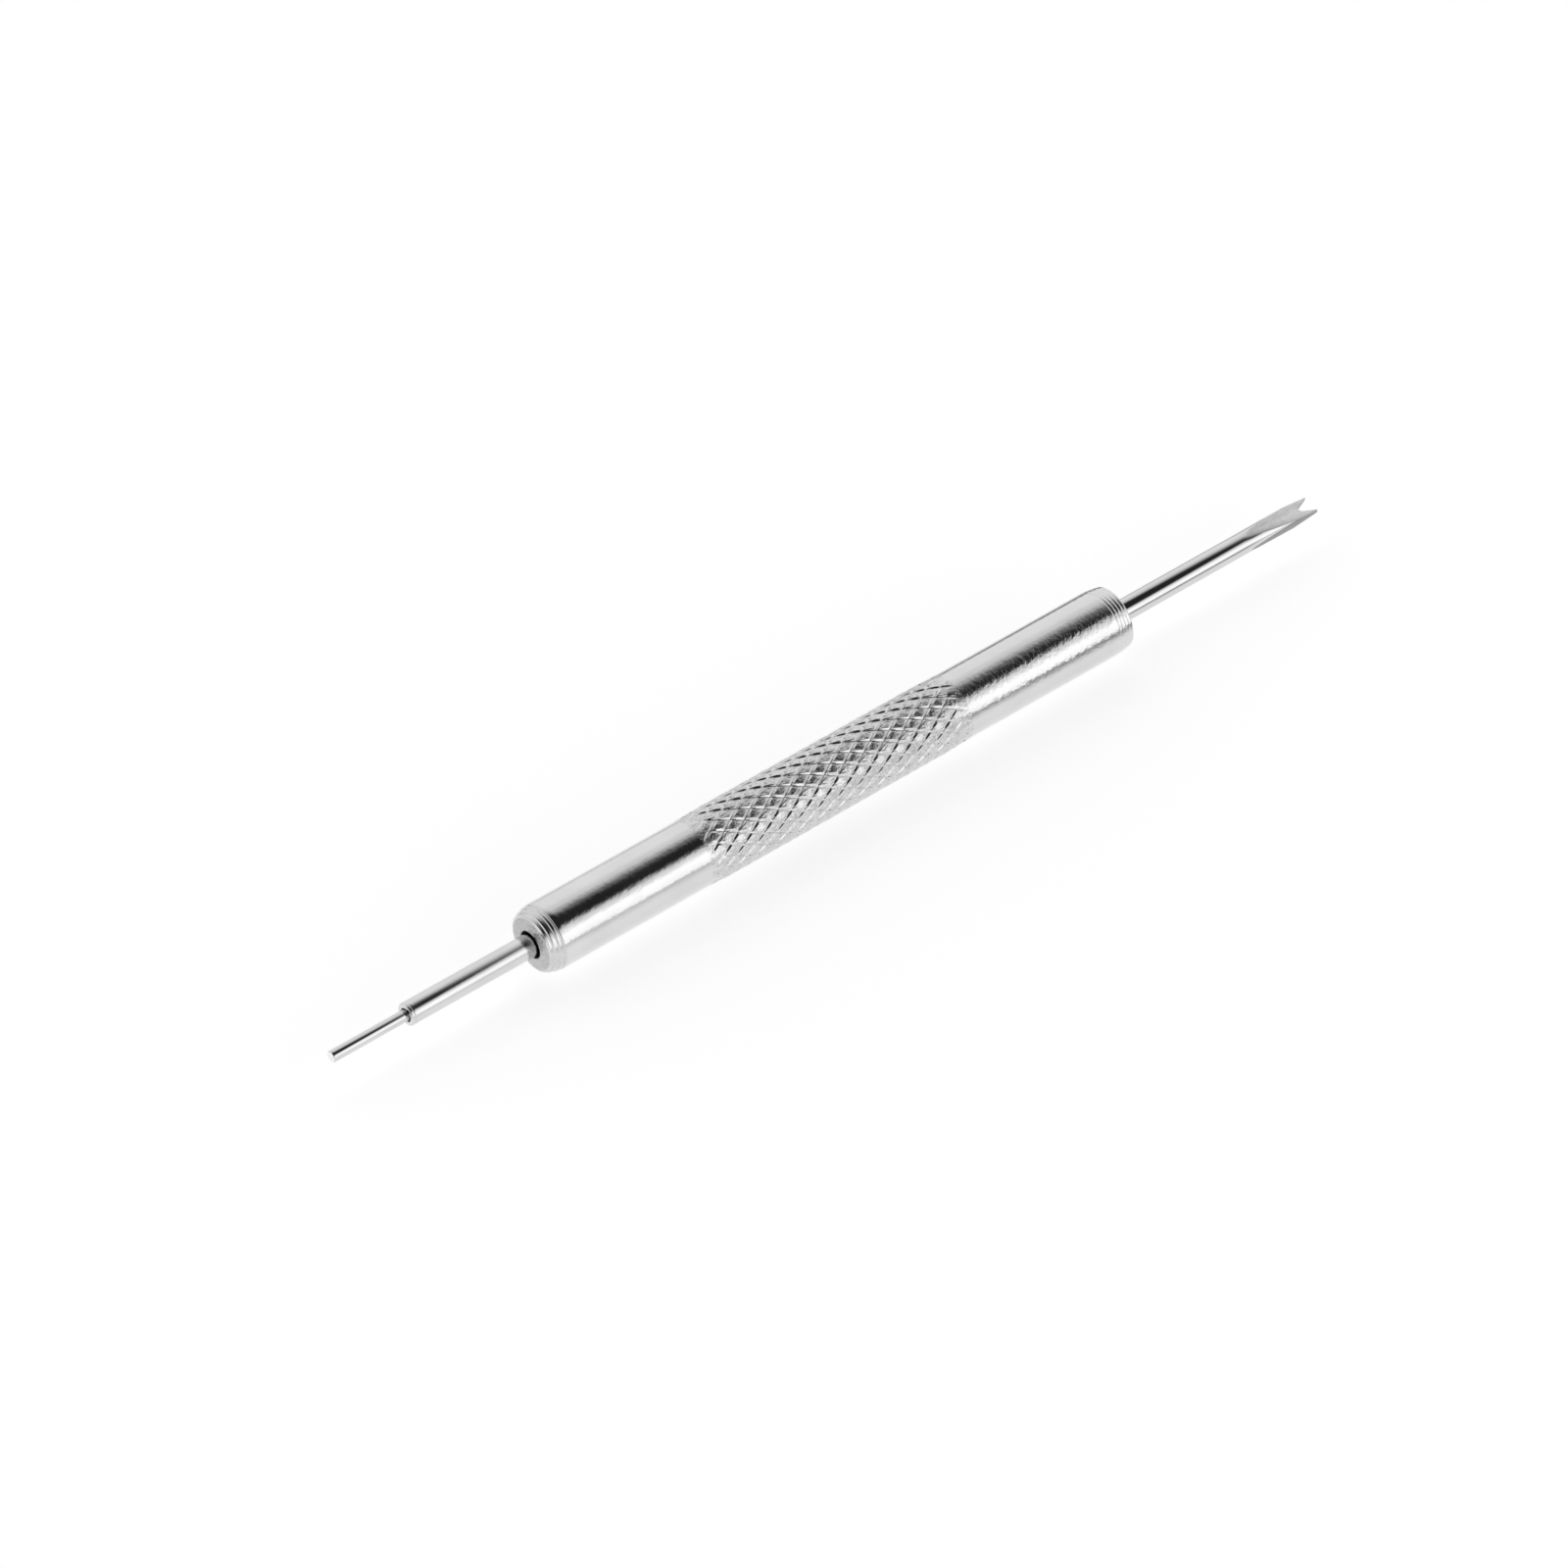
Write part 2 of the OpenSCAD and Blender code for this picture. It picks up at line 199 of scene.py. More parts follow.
def bright_metal_group():
    """Orange peel, pits and changing sheen. Sizes are features per metre on Object coordinates."""
    group, into, out = new_group(
        "bright metal",
        [("Vector", "NodeSocketVector", None), ("Color", "NodeSocketColor", (0.7, 0.7, 0.7, 1)),
         ("Peel Scale", "NodeSocketFloat", 2500.0), ("Fine Scale", "NodeSocketFloat", 9000.0),
         ("Fine Amount", "NodeSocketFloat", 0.3), ("Pit Scale", "NodeSocketFloat", 700.0),
         ("Pit Amount", "NodeSocketFloat", 0.5), ("Roughness", "NodeSocketFloat", 0.08),
         ("Roughness Spread", "NodeSocketFloat", 0.06), ("Dirt", "NodeSocketFloat", 0.0)],
        [("Color", "NodeSocketColor"), ("Roughness", "NodeSocketFloat"),
         ("Height", "NodeSocketFloat")])
    place = into.outputs["Vector"]
    peel = node(group, "ShaderNodeTexNoise",
                {"Vector": place, "Scale": into.outputs["Peel Scale"], "Detail": 2.0,
                 "Roughness": 0.5}).outputs["Fac"]
    fine = node(group, "ShaderNodeTexNoise",
                {"Vector": place, "Scale": into.outputs["Fine Scale"], "Detail": 3.0,
                 "Roughness": 0.6}).outputs["Fac"]
    cells = node(group, "ShaderNodeTexVoronoi",
                 {"Vector": place, "Scale": into.outputs["Pit Scale"], "Randomness": 1.0})
    pit = node(group, "ShaderNodeMapRange",
               {"Value": cells.outputs["Distance"], "From Min": 0.02, "From Max": 0.16,
                "To Min": 1.0, "To Max": 0.0}, interpolation_type="SMOOTHSTEP").outputs["Result"]
    chosen = node(group, "ShaderNodeSeparateColor", {"Color": cells.outputs["Color"]})
    rare = maths(group, "GREATER_THAN", chosen.outputs["Red"], 0.8)
    pit = maths(group, "MULTIPLY", maths(group, "MULTIPLY", pit, rare), into.outputs["Pit Amount"])
    height = maths(group, "MULTIPLY_ADD", fine, into.outputs["Fine Amount"], peel)
    height = maths(group, "SUBTRACT", height, pit)
    sheen = node(group, "ShaderNodeTexNoise",
                 {"Vector": place, "Scale": 350.0, "Detail": 3.0, "Roughness": 0.6}).outputs["Fac"]
    sheen = node(group, "ShaderNodeMapRange",
                 {"Value": sheen, "From Min": 0.3, "From Max": 0.7, "To Min": 0.0,
                  "To Max": 1.0}).outputs["Result"]
    rough = maths(group, "MULTIPLY_ADD", sheen, into.outputs["Roughness Spread"],
                  into.outputs["Roughness"])
    rough = maths(group, "MULTIPLY_ADD", pit, 0.25, rough)
    specks = node(group, "ShaderNodeMapRange",
                  {"Value": fine, "From Min": 0.43, "From Max": 0.53, "To Min": 1.0,
                   "To Max": 0.0}).outputs["Result"]
    specks = maths(group, "MULTIPLY", specks, into.outputs["Dirt"])
    # The Mix node has a socket A for each kind of value. Numbers 6 and 7 are the colours.
    dull = node(group, "ShaderNodeMix",
                {0: maths(group, "MULTIPLY_ADD", sheen, 0.08, specks),
                 6: into.outputs["Color"], 7: (0.20, 0.20, 0.205, 1)}, data_type="RGBA")
    group.links.new(dull.outputs[2], out.inputs["Color"])
    group.links.new(rough, out.inputs["Roughness"])
    group.links.new(height, out.inputs["Height"])
    return group


bright_metal = bright_metal_group()

# %% [markdown]
# The second group is the mark of a grinding wheel: fine scratches that all run one way. Noise
# that is stretched a hundred times along the tool does this. It is used strongly on the fork's
# blade and faintly on the drawn rods, which have draw lines for the same reason. Stretched the
# other way, the same noise makes the rings that the rolling tool left on the handle's nose.

# %% Node group for lengthwise scratches
def scratch_group():
    """Scratches along the tool. Across and Along are features per metre in each direction."""
    group, into, out = new_group(
        "lengthwise scratches",
        [("Vector", "NodeSocketVector", None), ("Across", "NodeSocketFloat", 14000.0),
         ("Along", "NodeSocketFloat", 160.0)],
        [("Height", "NodeSocketFloat"), ("Mask", "NodeSocketFloat")])
    stretch = node(group, "ShaderNodeCombineXYZ",
                   {"X": into.outputs["Along"], "Y": into.outputs["Across"],
                    "Z": into.outputs["Across"]}).outputs[0]
    place = node(group, "ShaderNodeVectorMath", {0: into.outputs["Vector"], 1: stretch},
                 operation="MULTIPLY").outputs[0]
    lines = node(group, "ShaderNodeTexNoise",
                 {"Vector": place, "Scale": 1.0, "Detail": 3.0, "Roughness": 0.65}).outputs["Fac"]
    mask = node(group, "ShaderNodeMapRange",
                {"Value": lines, "From Min": 0.38, "From Max": 0.62, "To Min": 0.0,
                 "To Max": 1.0}).outputs["Result"]
    group.links.new(lines, out.inputs["Height"])
    group.links.new(mask, out.inputs["Mask"])
    return group


scratches = scratch_group()

# %% Materials
barrel_r = 2.15
lamp_side = Vector((0, -0.7676, -0.6429))


def metal(name, color, peel_depth, scratch_depth=0.0, marks=(14000, 160), ground=False,
          coarser=False, **amounts):
    """Bright metal with its own colour, peel depth and scratch depth, both in metres.

    `marks` are the scratches' scales across and along the tool. With `coarser` the plating gets
    rougher and grainier towards the fork, and more so on the side that faces the lamp.
    """
    material = bpy.data.materials.new(name)
    material.use_nodes = True
    tree = material.node_tree
    tree.nodes.clear()
    place = node(tree, "ShaderNodeTexCoord").outputs["Object"]
    base = node(tree, "ShaderNodeGroup", node_tree=bright_metal)
    tree.links.new(place, base.inputs["Vector"])
    base.inputs["Color"].default_value = (*color, 1)
    for title, value in amounts.items():
        base.inputs[title.replace("_", " ").title()].default_value = value
    if coarser:
        along = node(tree, "ShaderNodeSeparateXYZ", {"Vector": place}).outputs["X"]
        far = node(tree, "ShaderNodeMapRange",
                   {"Value": along, "From Min": -0.012, "From Max": 0.012, "To Min": 0.0,
                    "To Max": 1.0}, interpolation_type="SMOOTHSTEP").outputs["Result"]
        # From -1 on the far top of the barrel to 1 low on the camera's side, where the lamp is
        side = node(tree, "ShaderNodeVectorMath", {0: place, 1: lamp_side / (barrel_r * MM)},
                    operation="DOT_PRODUCT").outputs["Value"]
        side = node(tree, "ShaderNodeMapRange",
                    {"Value": side, "From Min": -0.35, "From Max": -0.05, "To Min": 0.2,
                     "To Max": 1.0}, interpolation_type="SMOOTHSTEP").outputs["Result"]
        grain = maths(tree, "MULTIPLY", side, maths(tree, "MULTIPLY_ADD", far, 0.7, 0.3))
        for title, more in (("Fine Amount", 3.2), ("Roughness", 0.0)):
            start = base.inputs[title].default_value
            tree.links.new(maths(tree, "MULTIPLY_ADD", grain, more, start), base.inputs[title])
    shader = node(tree, "ShaderNodeBsdfPrincipled", {"Metallic": 1.0})
    colour, rough = base.outputs["Color"], base.outputs["Roughness"]
    normal = node(tree, "ShaderNodeBump",
                  {"Height": base.outputs["Height"], "Strength": 1.0,
                   "Distance": peel_depth}).outputs["Normal"]
    if scratch_depth:
        lines = node(tree, "ShaderNodeGroup", node_tree=scratches)
        tree.links.new(place, lines.inputs["Vector"])
        lines.inputs["Across"].default_value, lines.inputs["Along"].default_value = marks
        normal = node(tree, "ShaderNodeBump",
                      {"Height": lines.outputs["Height"], "Strength": 1.0,
                       "Distance": scratch_depth, "Normal": normal}).outputs["Normal"]
        if ground:
            mix = node(tree, "ShaderNodeMix",
                       {0: maths(tree, "MULTIPLY", lines.outputs["Mask"], 0.22), 6: colour,
                        7: (0.36, 0.36, 0.37, 1)}, data_type="RGBA")
            colour = mix.outputs[2]
            rough = maths(tree, "MULTIPLY_ADD", lines.outputs["Mask"], 0.18, rough)
    tree.links.new(colour, shader.inputs["Base Color"])
    tree.links.new(rough, shader.inputs["Roughness"])
    tree.links.new(normal, shader.inputs["Normal"])
    end = node(tree, "ShaderNodeOutputMaterial")
    tree.links.new(shader.outputs["BSDF"], end.inputs["Surface"])
    return material


plating = metal("plating", (0.70, 0.70, 0.705), peel_depth=0.006 * MM, coarser=True,
                roughness=0.06, roughness_spread=0.07, fine_scale=3400, fine_amount=0.7)
pressed = metal("pressed diamonds", (0.69, 0.69, 0.695), peel_depth=0.020 * MM,
                roughness=0.15, roughness_spread=0.12, peel_scale=6500, fine_amount=0.6,
                pit_amount=0.8, dirt=0.25)
groove_wall = metal("groove wall", (0.70, 0.70, 0.705), peel_depth=0.006 * MM,
                    roughness=0.15, roughness_spread=0.10, peel_scale=5000, fine_amount=0.8)
rolled_nose = metal("rolled nose", (0.66, 0.66, 0.665), peel_depth=0.008 * MM,
                    scratch_depth=0.024 * MM, marks=(160, 7000), roughness=0.11,
                    roughness_spread=0.08, dirt=0.10)
end_face = metal("rough end face", (0.58, 0.58, 0.585), peel_depth=0.07 * MM,
                 roughness=0.24, roughness_spread=0.16, peel_scale=4000, fine_amount=0.9,
                 pit_amount=1.0, dirt=0.25)
# The mouth wall's colour, 0.22, is painted shade inside the mouth.
mouth_painted_shade = metal("mouth wall painted shade", (0.22, 0.22, 0.225), peel_depth=0.06 * MM,
                   roughness=0.35, roughness_spread=0.2, peel_scale=5000, dirt=0.9)
sleeve_wire = metal("sleeve wire", (0.69, 0.69, 0.695), peel_depth=0.0025 * MM,
                    scratch_depth=0.0007 * MM, roughness=0.12, roughness_spread=0.06,
                    fine_amount=0.7, pit_amount=0.2)
pin_wire = metal("pin wire", (0.67, 0.67, 0.675), peel_depth=0.001 * MM,
                 scratch_depth=0.0008 * MM, roughness=0.06, roughness_spread=0.04,
                 pit_amount=0.2)
# The pin's end face is painted light: the wire coloured 0.92 instead of 0.67.
pin_face_painted_light = metal("pin face painted light", (0.92, 0.92, 0.925), peel_depth=0.01 * MM, roughness=0.25,
                 roughness_spread=0.1, dirt=0.1)
fork_rod = metal("fork rod", (0.68, 0.68, 0.685), peel_depth=0.0014 * MM,
                 scratch_depth=0.0009 * MM, roughness=0.09, roughness_spread=0.06,
                 pit_amount=0.3)
fork_ground = metal("fork ground", (0.70, 0.70, 0.705), peel_depth=0.001 * MM,
                    scratch_depth=0.008 * MM, marks=(24000, 400), ground=True, roughness=0.24,
                    roughness_spread=0.08, pit_amount=0.0)
# The side tapers and the notch walls: the ground finish darkened to 0.28, which is painted shade.
fork_edge_painted_shade = metal("fork edge painted shade", (0.28, 0.28, 0.285), peel_depth=0.001 * MM,
                  scratch_depth=0.008 * MM, ground=True, roughness=0.20,
                  roughness_spread=0.08, pit_amount=0.0)
handle_finishes = [plating, pressed, groove_wall, rolled_nose, end_face, mouth_painted_shade]
PLATING, PRESSED, GROOVE_WALL, ROLLED_NOSE, END_FACE, MOUTH_PAINTED_SHADE = range(6)
fork_finishes = [fork_rod, fork_ground, fork_edge_painted_shade]
ROD, GROUND, SHADED_EDGE = range(3)
print("materials:", [m.name for m in bpy.data.materials])

# %% [markdown]
# ## The knurl
#
# Two wheels press the knurl into the barrel. They leave 16 grooves in each direction, and between
# the grooves diamonds that the pushed-up metal raises a little over the barrel. Drawing it with a
# bump texture would leave the outline smooth, so it is modelled. One diamond is made flat, from a
# four-sided face and the loops that insetting leaves in it. It is then repeated 432 times,
# welded, trimmed at both ends, and wrapped round the barrel.

# %% Sizes of the knurl
knurl_from, knurl_l = handle_x / MM + 12.05, 19.76
starts, columns = 16, 26
column_step = knurl_l / columns
row_step = math.pi * barrel_r / starts
rise, sink = 0.05, 0.055
groove_w, wall_w = 0.08, 0.1
# The knurl's ends: plain edge, what one wheel's grooves run on past the other's, and run-outs
edge_w, run_on, groove_fade, rise_from, rise_fade = 0.1, 0.75, 0.3, 0.4, 1.0
wall_foot = 0.85
# Distance square to a groove for one step of column or row
square_step = column_step * row_step / math.hypot(column_step, row_step)


def knurl_tile():
    """One diamond, flat, in millimetres: X runs along the tool and Y round it."""
    bm = bmesh.new()
    bmesh.ops.create_circle(bm, cap_ends=True, segments=4, radius=1)
    bmesh.ops.scale(bm, vec=(column_step, row_step, 1), verts=bm.verts)
    bmesh.ops.subdivide_edges(bm, edges=bm.edges[:], cuts=3)
    face = bm.faces[:]
    face[0].material_index = GROOVE_WALL
    for width in (groove_w / 4, groove_w / 4, wall_w / 3, wall_w / 3, wall_w / 3):
        bmesh.ops.inset_individual(bm, faces=face, thickness=width)
    face[0].material_index = PRESSED
    for width in (0.02, 0.06, 0.07):
        bmesh.ops.inset_individual(bm, faces=face, thickness=width)
    bmesh.ops.poke(bm, faces=face)
    return bm


tile = knurl_tile()
print("a knurl tile has %d faces" % len(tile.faces))

# %% [markdown]
# The heights come next. Each point of the net looks how far it is from the nearest groove of
# either direction, and takes the deeper of the two. The two knurling wheels didn't start and
# stop at the same place: at the pin end only the grooves of the one wheel run on, and at the fork
# end only those of the other, like the teeth of a comb. There the diamonds are still as low as
# the barrel. A little noise keeps them from being as even as a drawing.

# %% Height of the knurl
def fade(distance, length):
    """From 0 to 1 over a length, smooth at both ends."""
    t = min(1, max(0, distance / length))
    return t * t * (3 - 2 * t)


def groove(steps):
    """Share of the groove's depth at a place that many steps of column and row from it."""
    off = abs((steps + 1) % 2 - 1) * square_step
    if off < groove_w / 2:
        return 1 - (1 - wall_foot) * (off / (groove_w / 2)) ** 2
    return wall_foot * (1 - fade(off - groove_w / 2, wall_w))


def knurl_height(x, y, wobble):
    """Height over the barrel at x along the knurl and y round it."""
    column, row = x / column_step, y / row_step + 1
    from_start, from_end = x - edge_w, knurl_l - edge_w - x
    first = (groove(column + row) * fade(from_start - run_on, groove_fade)
             * fade(from_end, groove_fade))
    second = (groove(column - row) * fade(from_start, groove_fade)
              * fade(from_end - run_on, groove_fade))
    top = rise * fade(min(from_start, from_end) - rise_from, rise_fade) * (0.8 + 0.2 * wobble)
    return top - max(first, second) * (sink + top)


# %% Repeat the tile and wrap it round the barrel
def knurl_net(tile):
    """The whole net as an open tube, in metres, with its two ends at the barrel's radius."""
    bm = bmesh.new()
    mesh = bpy.data.meshes.new("tile")
    tile.to_mesh(mesh)
    for column in range(columns + 1):
        for i in range(starts):
            before = len(bm.verts)
            bm.from_mesh(mesh)
            bm.verts.ensure_lookup_table()
            row = 2 * i + column % 2
            bmesh.ops.translate(bm, vec=(column * column_step, row * row_step, 0),
                                verts=bm.verts[before:])
    bpy.data.meshes.remove(mesh)
    for x, side in ((0, -1), (knurl_l, 1)):
        bmesh.ops.bisect_plane(bm, geom=bm.verts[:] + bm.edges[:] + bm.faces[:],
                               dist=0.0001, plane_co=(x, 0, 0), plane_no=(side, 0, 0),
                               clear_outer=True)
    for v in bm.verts:
        x, y = v.co.xy
        turn = math.pi / 2 - y / barrel_r
        round_place = Vector((x, barrel_r * math.cos(turn), barrel_r * math.sin(turn)))
        r = barrel_r + knurl_height(x, y, noise.noise(2.5 * round_place))
        v.co = Vector((knurl_from + x, r * math.cos(turn), r * math.sin(turn))) * MM
    bmesh.ops.remove_doubles(bm, verts=bm.verts, dist=0.002 * MM)
    return bm


handle = knurl_net(tile)
tile.free()
open_ends = [e for e in handle.edges if e.is_boundary]
print("knurl: %d faces, %d open edges" % (len(handle.faces), len(open_ends)))

# %% [markdown]
# ## The handle
#
# The rest of the handle is turned. Each end is rolled down on its rod, which leaves a shoulder
# with fine grooves, three at the pin end and four at the fork end. Between them the lands stand
# nearly level, so they catch the light like rings. The pin end is open: a mouth shows round the
# sleeve. The two turned halves are spun next to the net, and bridge_loops closes the narrow
# gap between the last ring of a barrel and the open end of the net, so the handle is one skin.
# Each face then gets its finish from where it stands: rolled, sawn rough, or inside the mouth,
# where a dark colour is painted shade.

# %% Profiles of the two ends
nose_l, nose_drop, nose_crown = 1.4, 0.4, 0.12
tail_l, tail_drop = 1.4, 0.15
mouth_d, mouth_l, sleeve_r, fork_r = 1.75, 0.7, 0.74, 0.71
lip_r = 0.06
nose_inside = 2.0
knurl_end, seam = knurl_from + knurl_l, 0.1


def shoulder_r(away, length, drop):
    return barrel_r - drop * max(0, 1 - away / length) ** 2


def shoulder(length, drop, crown, count, first, pitch, width, depth):
    """(distance from the end face, radius) from the face to the barrel, with its grooves.

    The lands between two grooves are turned nearly level, like small steps.
    """
    edge = crown + lip_r
    points = [(crown, barrel_r - drop - lip_r),
              (crown + lip_r / 3, barrel_r - drop - lip_r / 3)]
    middles = [edge + first + i * pitch for i in range(count)]
    lands = list(zip([edge] + [m + width / 2 for m in middles],
                     [m - width / 2 for m in middles] + [length]))
    for (start, stop), middle in zip(lands, middles):
        r = shoulder_r((start + stop) / 2, length, drop)
        lean = 0.25 * (shoulder_r(stop, length, drop) - r)
        bottom = shoulder_r(middle, length, drop) - depth
        points += [(start, r - lean), (stop, r + lean), (middle - 0.2 * width, bottom),
                   (middle + 0.2 * width, bottom)]
    for i in range(9):
        away = lands[-1][0] + (length - lands[-1][0]) * i / 8
        points.append((away, shoulder_r(away, length, drop)))
    return points


nose = [(nose_inside, sleeve_r - 0.01), (mouth_l + 0.25, sleeve_r - 0.01), (mouth_l, mouth_d / 2),
        (0.06, mouth_d / 2), (0, mouth_d / 2 + 0.08), (0.01, mouth_d / 2 + 0.35)]
nose += shoulder(nose_l, nose_drop, nose_crown, 3, 0.14, 0.32, 0.16, 0.05)
nose = rounded([(handle_x / MM + away, r) for away, r in nose], 0.05, 3)
nose += [(knurl_from - 3 * seam, barrel_r), (knurl_from - seam, barrel_r)]

tail = shoulder(tail_l, tail_drop, 0.0, 4, 0.21, 0.26, 0.10, 0.022)[::-1]
tail += [(0, fork_r + 0.02), (0.1, fork_r - 0.01), (1.0, fork_r - 0.01)]
tail = rounded([(handle_end_x / MM - away, r) for away, r in tail], 0.05, 3)
tail = [(knurl_end + seam, barrel_r), (knurl_end + 3 * seam, barrel_r)] + tail

# %% Spin the ends and join them to the knurl
def end_loop(bm, x, tolerance=0.002):
    """The open edges that lie at the place x along the tool."""
    return [e for e in bm.edges if e.is_boundary
            and all(abs(v.co.x / MM - x) < tolerance for v in e.verts)]


turned(handle, nose)
turned(handle, tail)
bmesh.ops.remove_doubles(handle, verts=handle.verts, dist=0.0005 * MM)
for barrel_end, net_end in ((knurl_from - seam, knurl_from), (knurl_end + seam, knurl_end)):
    loops = end_loop(handle, barrel_end) + end_loop(handle, net_end)
    bridged = bmesh.ops.bridge_loops(handle, edges=loops)
    print("bridged with %d faces" % len(bridged["faces"]))

for face in handle.faces:
    middle = face.calc_center_median()
    away, r = (middle.x - handle_x) / MM, middle.yz.length / MM
    # Faces inside the mouth get the painted shade.
    if away < nose_inside and r < mouth_d / 2 + 0.01:
        face.material_index = MOUTH_PAINTED_SHADE
    elif away < nose_crown:
        face.material_index = END_FACE
    elif away < nose_l - 0.3:
        face.material_index = ROLLED_NOSE
finish_piece(handle, "handle_knurled", handle_finishes, "handle")

# %% [markdown]
# ## The sleeve and the push pin
#
# The sleeve is a rod with a rounded nose, one fine turned ring, and a countersink from which the
# push pin stands out. The pin is a length of hard wire whose tip has only been deburred. Both
# are spun. Each profile runs on a little way inside the piece that holds it, where it closes.

# %% Sleeve and push pin
sleeve_tip, pin_tip = sleeve_tip_x / MM, pin_tip_x / MM
pin_r, pin_deburr, sleeve_round = 0.38, 0.05, 0.1
ring_at, ring_w, ring_floor_w, ring_depth = 0.22, 0.08, 0.024, 0.03
hidden_r, sleeve_inside, pin_inside = 0.2, 3.0, 1.2
sleeve_profile = [(1.5, hidden_r), (1.5, pin_r - 0.005), (0.35, pin_r - 0.005),
                  (0, pin_r + 0.08)]
for i in range(7):
    a = math.radians(i * 90 / 6)
    sleeve_profile.append((sleeve_round * (1 - math.cos(a)),
                           sleeve_r - sleeve_round * (1 - math.sin(a))))
sleeve_profile += [(ring_at - ring_w / 2, sleeve_r),
                   (ring_at - ring_floor_w / 2, sleeve_r - ring_depth),
                   (ring_at + ring_floor_w / 2, sleeve_r - ring_depth),
                   (ring_at + ring_w / 2, sleeve_r), (ring_at + 1.5 * ring_w, sleeve_r)]
sleeve_profile = [(sleeve_tip + away, r) for away, r in sleeve_profile]
sleeve_profile += [(handle_x / MM + sleeve_inside, sleeve_r),
                   (handle_x / MM + sleeve_inside, hidden_r)]
sleeve = bmesh.new()
turned(sleeve, rounded(sleeve_profile, 0.012, 2), steps=96)
bmesh.ops.holes_fill(sleeve, edges=[e for e in sleeve.edges if e.is_boundary])
finish_piece(sleeve, "sleeve_turned", [sleeve_wire], "sleeve")

pin_profile = rounded([(pin_tip, 0.1), (pin_tip, pin_r - pin_deburr),
                       (pin_tip + pin_deburr, pin_r), (pin_tip + 4 * pin_deburr, pin_r),
                       (sleeve_tip + pin_inside, pin_r), (sleeve_tip + pin_inside, 0.1)], 0.02, 3)
pin = bmesh.new()
turned(pin, pin_profile, steps=72)
bmesh.ops.holes_fill(pin, edges=[e for e in pin.edges if e.is_boundary])
# The tip's end face gets the painted light.
for face in pin.faces:
    if face.calc_center_median().x < (pin_tip + pin_deburr / 10) * MM:
        face.material_index = 1
finish_piece(pin, "push_pin_wire", [pin_wire, pin_face_painted_light], "push_pin")

# %% [markdown]
# ## The fork
#
# The fork starts as the same kind of rod. A grinding wheel then takes two flats off it, which
# slope to a thin tip, and two shallower tapers off its sides. Each is one bisect_plane: what
# lies outside the plane goes, and the cut is filled. The filled faces get the ground finish, on
# the side tapers as a copy darkened to painted shade. The notch between the prongs is a hollow
# shape, so a plane can't cut it. An upright cutter with the notch's outline goes through the
# blade as a Boolean modifier, and its walls get the same painted shade.

# %% Rod and ground flats
fork_tip, fork_inside = fork_tip_x / MM, 1.5
blade_l, blade_tip_t, blade_tip_w, blade_roll = 5.4, 0.26, 1.18, math.radians(10)
notch_depth, notch_mouth_w, notch_root_r, cutter_half = 1.06, 1.12, 0.23, 1.5


def grind(bm, outwards, tip_half, finish):
    """Grind one sloping face: it leaves the rod's surface at the blade's start."""
    start = Vector(((fork_tip - blade_l) * MM, 0, 0)) + outwards * fork_r * MM
    stop = Vector((fork_tip * MM, 0, 0)) + outwards * tip_half * MM
    slope = stop - start
    normal = (outwards - slope * outwards.dot(slope) / slope.length_squared).normalized()
    cut = bmesh.ops.bisect_plane(bm, geom=bm.verts[:] + bm.edges[:] + bm.faces[:],
                                 dist=0.0001 * MM, plane_co=start, plane_no=normal,
                                 clear_outer=True)
    edges = [e for e in cut["geom_cut"] if isinstance(e, bmesh.types.BMEdge)]
    made = bmesh.ops.holes_fill(bm, edges=edges)
    for face in made["faces"]:
        face.material_index = finish


rod = bmesh.new()
turned(rod, [(handle_end_x / MM - fork_inside, 0.1), (handle_end_x / MM - fork_inside, fork_r),
             (fork_tip - blade_l - 0.4, fork_r), (fork_tip, fork_r), (fork_tip, 0.1)], steps=96)
bmesh.ops.holes_fill(rod, edges=[e for e in rod.edges if e.is_boundary])
bmesh.ops.recalc_face_normals(rod, faces=rod.faces)
for side in (1, -1):
    grind(rod, Vector((0, 0, side)), blade_tip_t / 2, GROUND)
    # The side tapers get the darkened ground finish, which is painted shade.
    grind(rod, Vector((0, side, 0)), blade_tip_w / 2, SHADED_EDGE)
fork_piece = finish_piece(rod, "fork_ground", fork_finishes, "fork", sharp=25)

# %% Notch
def notch_cutter():
    """The notch's outline, round at the root and flared to the mouth, pulled up through Z."""
    root_x = fork_tip - notch_depth + notch_root_r
    flare = math.atan((notch_mouth_w / 2 - notch_root_r) / (notch_depth - notch_root_r))
    outline = []
    for i in range(13):
        a = math.pi / 2 + flare + i * (math.pi - 2 * flare) / 12
        outline.append((root_x + notch_root_r * math.cos(a), notch_root_r * math.sin(a)))
    run = math.tan(flare)
    outline += [(fork_tip, -notch_mouth_w / 2), (fork_tip + 1, -notch_mouth_w / 2 - run),
                (fork_tip + 1, notch_mouth_w / 2 + run), (fork_tip, notch_mouth_w / 2)]
    bm = bmesh.new()
    ring = [bm.verts.new((x * MM, y * MM, -cutter_half * MM)) for x, y in outline]
    base = bm.faces.new(ring)
    pulled = bmesh.ops.extrude_face_region(bm, geom=[base])
    bmesh.ops.translate(bm, vec=(0, 0, 2 * cutter_half * MM),
                        verts=[v for v in pulled["geom"] if isinstance(v, bmesh.types.BMVert)])
    bmesh.ops.recalc_face_normals(bm, faces=bm.faces)
    mesh = bpy.data.meshes.new("notch cutter")
    bm.to_mesh(mesh)
    bm.free()
    for material in fork_finishes:
        mesh.materials.append(material)
    for face in mesh.polygons:
        # The notch walls get the darkened ground finish, which is painted shade.
        face.material_index = SHADED_EDGE
    cutter = bpy.data.objects.new("notch cutter", mesh)
    bpy.context.scene.collection.objects.link(cutter)
    return cutter


